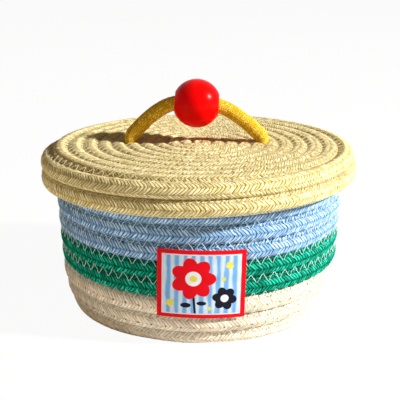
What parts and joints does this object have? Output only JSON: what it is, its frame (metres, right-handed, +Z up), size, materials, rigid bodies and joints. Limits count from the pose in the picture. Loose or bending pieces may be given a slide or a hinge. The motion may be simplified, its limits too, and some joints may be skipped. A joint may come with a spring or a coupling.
{
  "type": "lidded rope basket",
  "caption": "Round storage basket coiled from thick sewn cotton rope, with a lift-off coiled lid and an arched rope handle that carries a ball.",
  "frame": {"origin": "on the floor at the middle of the basket's base", "axes": "+Z up, -Y towards the side with the label, +X along the handle to the right"},
  "size_m": [0.1962, 0.1962, 0.1395],
  "materials": {
    "natural_cotton_rope": "thick natural cotton rope, sewn with white thread",
    "green_cotton_rope": "thick green cotton rope, sewn with white thread",
    "blue_cotton_rope": "thick light blue cotton rope, sewn with white thread",
    "label_fabric": "thin printed fabric with a red border",
    "straw_cotton_rope": "thick pale straw cotton rope, sewn with pale yellow thread",
    "golden_cotton_rope": "golden yellow plaited cotton rope",
    "red_lacquer": "turned wooden ball, glossy red lacquer"
  },
  "bodies": {
    "basket": {"natural_rope": "natural_cotton_rope", "green_rope": "green_cotton_rope", "blue_rope": "blue_cotton_rope", "label": "label_fabric"},
    "lid": {"lid_rope": "straw_cotton_rope", "handle_rope": "golden_cotton_rope"},
    "ball": {"handle_ball": "red_lacquer"}
  },
  "joints": [
    {"name": "lid_lift", "type": "slide", "parent": "basket", "child": "lid", "axis": [0, 0, 1], "range_m": [0, 0.12]},
    {"name": "ball_turn", "type": "hinge", "parent": "lid", "child": "ball", "pos_m": [-0.00145, 0, 0.12455], "axis": [0.9982, 0, -0.0599], "continuous": true}
  ]
}
